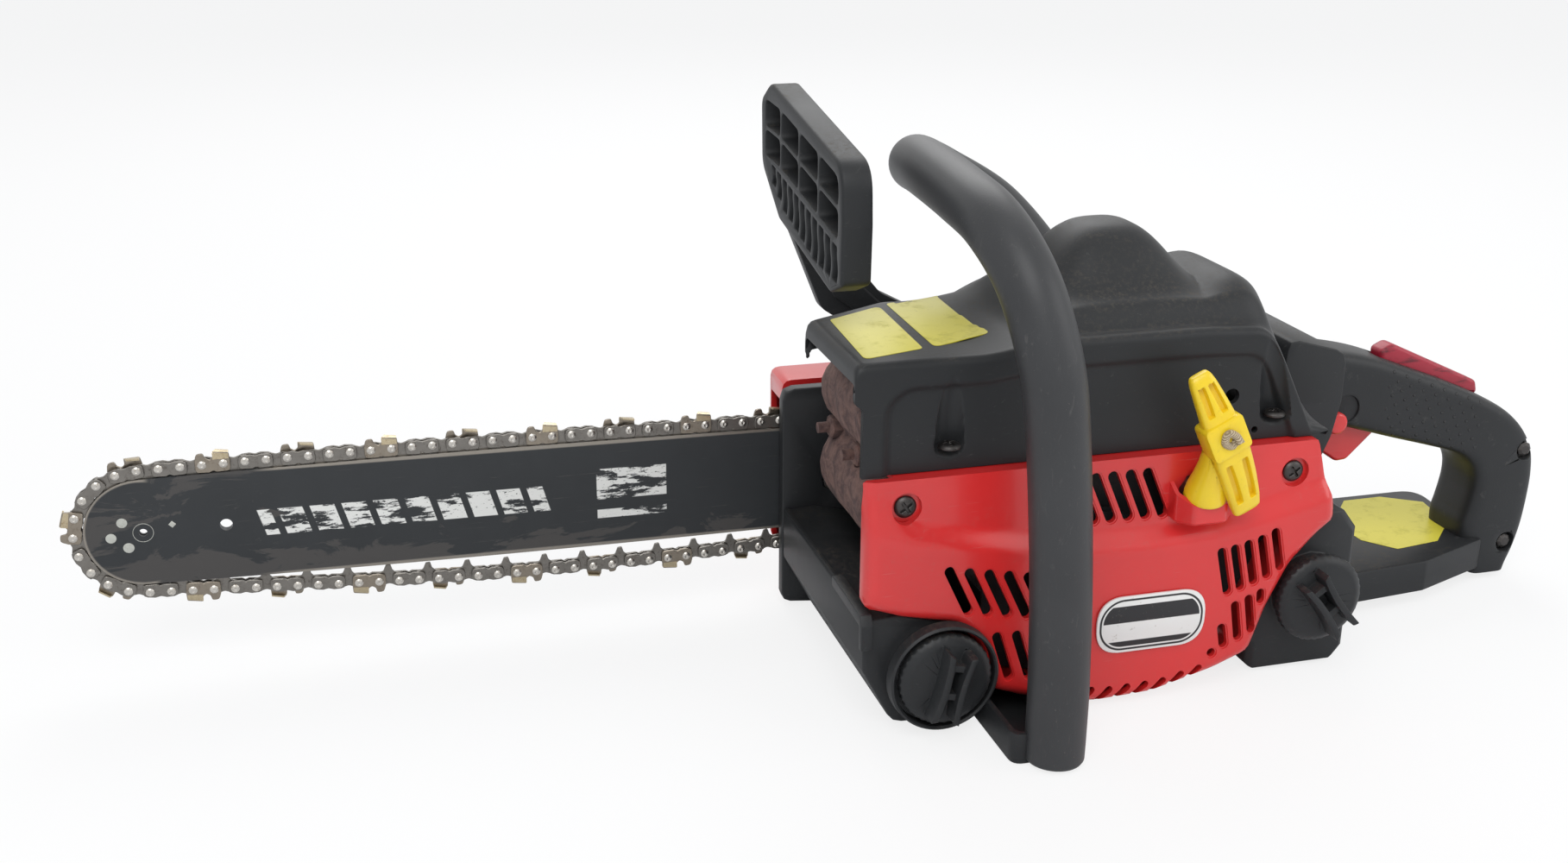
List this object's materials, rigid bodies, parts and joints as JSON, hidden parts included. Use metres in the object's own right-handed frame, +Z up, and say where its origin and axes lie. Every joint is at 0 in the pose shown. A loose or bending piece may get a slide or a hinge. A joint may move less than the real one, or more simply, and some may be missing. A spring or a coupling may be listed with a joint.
{
  "type": "chainsaw",
  "caption": "Petrol chainsaw with a sprocket-nose guide bar, saw chain, front and rear handles, hinged hand guard, pull starter and two screw-capped tanks.",
  "frame": {"origin": "on the flat underside of the chassis floor, below the middle of the powerhead", "axes": "+X towards the rear handle, -X towards the guide bar's nose, -Y the starter side, +Z up"},
  "size_m": [0.7379, 0.243, 0.2655],
  "materials": {
    "black_plastic": "moulded, lightly scuffed",
    "red_plastic": "moulded, worn",
    "yellow_plastic": "moulded",
    "rubber": "moulded",
    "bar_paint": "worn paint on steel",
    "chain_steel": "oily and stained",
    "bright_steel": "bare",
    "dark_steel": "blackened",
    "cast_metal": "cast",
    "rusty_steel": "heat-rusted sheet",
    "rope": "braided cord",
    "filter": "felt",
    "ceramic": "glazed",
    "badge": "metallised"
  },
  "bodies": {
    "powerhead": {"guide_bar": "bar_paint", "nose_sprocket": "dark_steel", "saw_chain": "chain_steel", "clutch_drum": "dark_steel", "brake_band": "bright_steel", "crankcase": "cast_metal", "ignition_coil": "black_plastic", "cylinder": "cast_metal", "spark_plug": "ceramic", "plug_boot": "rubber", "carburettor": "cast_metal", "air_filter": "filter", "muffler": "rusty_steel", "muffler_bolt_near": "rusty_steel", "muffler_bolt_far": "rusty_steel", "chassis": "black_plastic", "oil_tank": "black_plastic", "fuel_tank": "black_plastic", "starter_housing": "red_plastic", "top_cover": "black_plastic", "clutch_cover": "red_plastic", "bar_stud_front": "bright_steel", "bar_stud_rear": "bright_steel", "bar_nut_front": "bright_steel", "bar_nut_rear": "bright_steel", "chain_catcher": "cast_metal", "housing_screw_front": "dark_steel", "housing_screw_rear": "dark_steel", "cover_screw_front": "dark_steel", "cover_screw_rear": "dark_steel", "front_handle": "rubber", "handle_foot": "black_plastic", "guard_pivot_screw": "bright_steel", "rear_handle": "black_plastic", "rear_guard": "black_plastic", "handle_screw_upper": "bright_steel", "handle_screw_lower": "bright_steel", "trigger_pin": "bright_steel", "lockout_pin": "bright_steel", "pulley_post": "cast_metal", "starter_rope": "rope", "rope_guide": "dark_steel", "badge_plate": "badge"},
    "crank": {"crankshaft": "bright_steel", "flywheel": "cast_metal", "clutch_hub": "cast_metal"},
    "pulley": {"starter_pulley": "yellow_plastic"},
    "grip": {"starter_grip": "yellow_plastic", "rope_knot": "rope"},
    "guard": {"hand_guard": "black_plastic"},
    "trigger": {"throttle_trigger": "red_plastic"},
    "lockout": {"lockout_lever": "red_plastic"},
    "button": {"stop_button": "red_plastic"},
    "oil_plug_slide": {"oil_cap_seal": "rubber"},
    "oil_plug": {"oil_cap": "black_plastic"},
    "fuel_plug_slide": {"fuel_cap_seal": "rubber"},
    "fuel_plug": {"fuel_cap": "black_plastic"}
  },
  "joints": [
    {"name": "crank_spin", "type": "hinge", "parent": "powerhead", "child": "crank", "pos_m": [0.003, 0, 0.067], "axis": [0, 1, 0], "continuous": true},
    {"name": "starter_pull", "type": "slide", "parent": "powerhead", "child": "grip", "axis": [0.2799, -0.4998, 0.8197], "range_m": [0, 0.6], "stiffness_N_per_m": 6, "springref_m": -0.25, "deforming": ["starter_rope"]},
    {"name": "pulley_spin", "type": "hinge", "parent": "powerhead", "child": "pulley", "pos_m": [0.003, -0.072, 0.067], "axis": [0, 1, 0], "range_deg": [0, 1600]},
    {"name": "guard_tilt", "type": "hinge", "parent": "powerhead", "child": "guard", "pos_m": [-0.044, 0.052, 0.14], "axis": [0, 1, 0], "range_deg": [-14, 0]},
    {"name": "trigger_squeeze", "type": "hinge", "parent": "powerhead", "child": "trigger", "pos_m": [0.152, 0.004, 0.102], "axis": [0, 1, 0], "range_deg": [-14, 0], "stiffness_Nm_per_rad": 0.6, "springref_deg": 8.59},
    {"name": "lockout_press", "type": "hinge", "parent": "powerhead", "child": "lockout", "pos_m": [0.188, 0.004, 0.122], "axis": [0, 1, 0], "range_deg": [0, 6], "stiffness_Nm_per_rad": 0.5, "springref_deg": -11.46},
    {"name": "stop_press", "type": "slide", "parent": "powerhead", "child": "button", "axis": [0, 1, 0], "range_m": [0, 0.003], "stiffness_N_per_m": 300, "springref_m": -0.002},
    {"name": "oil_cap_out", "type": "slide", "parent": "powerhead", "child": "oil_plug_slide", "axis": [0, -1, 0], "range_m": [0, 0.04]},
    {"name": "oil_cap_turn", "type": "hinge", "parent": "oil_plug_slide", "child": "oil_plug", "pos_m": [-0.076, -0.09, 0.029], "axis": [0, -1, 0], "range_deg": [0, 720]},
    {"name": "fuel_cap_out", "type": "slide", "parent": "powerhead", "child": "fuel_plug_slide", "axis": [0, -1, 0], "range_m": [0, 0.04]},
    {"name": "fuel_cap_turn", "type": "hinge", "parent": "fuel_plug_slide", "child": "fuel_plug", "pos_m": [0.1125, -0.083, 0.042], "axis": [0, -1, 0], "range_deg": [0, 720]}
  ],
  "couplings": [
    {"joint": "pulley_spin", "follows": "starter_pull", "rad_per_m": 44.444},
    {"joint": "oil_cap_turn", "follows": "oil_cap_out", "rad_per_m": 314},
    {"joint": "fuel_cap_turn", "follows": "fuel_cap_out", "rad_per_m": 314}
  ]
}
